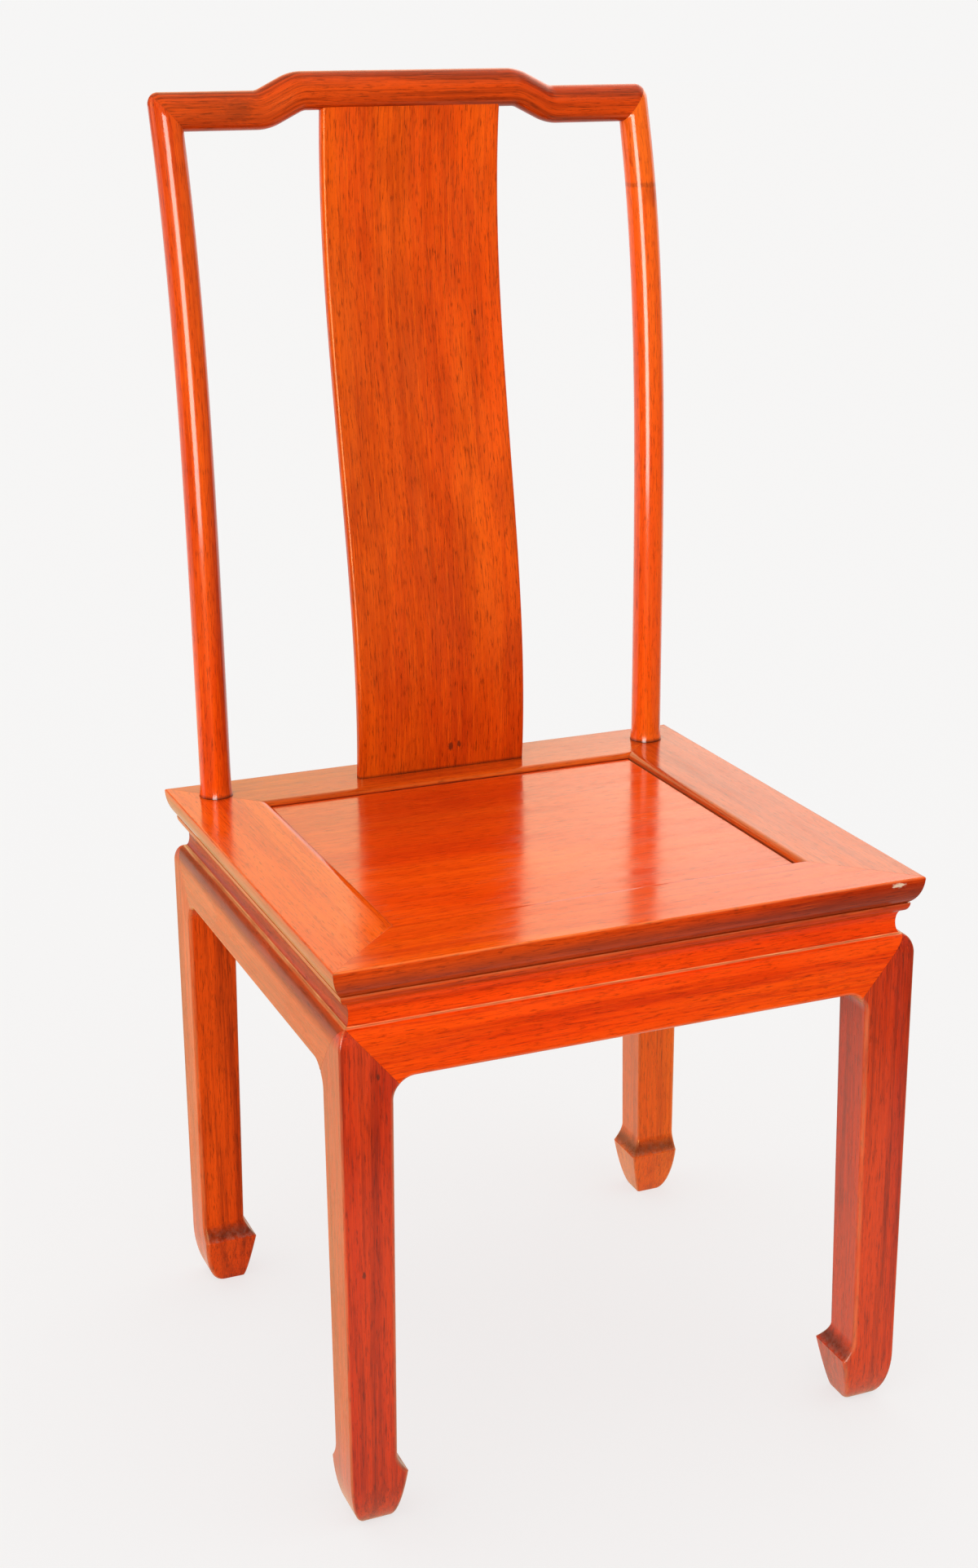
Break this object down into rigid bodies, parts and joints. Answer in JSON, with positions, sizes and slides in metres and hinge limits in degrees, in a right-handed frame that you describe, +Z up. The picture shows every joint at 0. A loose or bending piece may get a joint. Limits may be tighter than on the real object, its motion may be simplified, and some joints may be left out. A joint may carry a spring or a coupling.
{
  "type": "side chair",
  "caption": "Ming-style wooden side chair: stepped crest rail on swept-back posts, S-curved splat, panelled seat, coved waist and hoof-footed legs.",
  "frame": {"origin": "on the floor, under the middle of the chair's box", "axes": "+Z up, -Y towards the front of the seat, +X to the right of a viewer who faces the front"},
  "size_m": [0.48, 0.476, 1.048],
  "materials": {
    "frame": "glossy clear varnish over orange-red rosewood",
    "panel": "glossy clear varnish over orange-red rosewood",
    "waist": "glossy clear varnish over orange-red rosewood",
    "apron": "glossy clear varnish over orange-red rosewood",
    "leg": "glossy clear varnish over orange-red rosewood",
    "back": "glossy clear varnish over orange-red rosewood",
    "splat": "glossy clear varnish over orange-red rosewood",
    "hidden": "planed rosewood, unvarnished"
  },
  "bodies": {
    "root": {"seat_front_rail": "frame", "seat_right_rail": "frame", "seat_back_rail": "frame", "seat_left_rail": "frame", "seat_panel": "panel", "waist_front": "waist", "waist_right": "waist", "waist_back": "waist", "waist_left": "waist", "apron_front": "apron", "apron_right": "apron", "apron_back": "apron", "apron_left": "apron", "leg_front_left": "leg", "leg_front_right": "leg", "leg_back_left": "leg", "leg_back_right": "leg", "post_left": "back", "post_right": "back", "crest_rail": "back", "splat": "splat", "batten_left": "hidden", "batten_right": "hidden"}
  },
  "joints": []
}
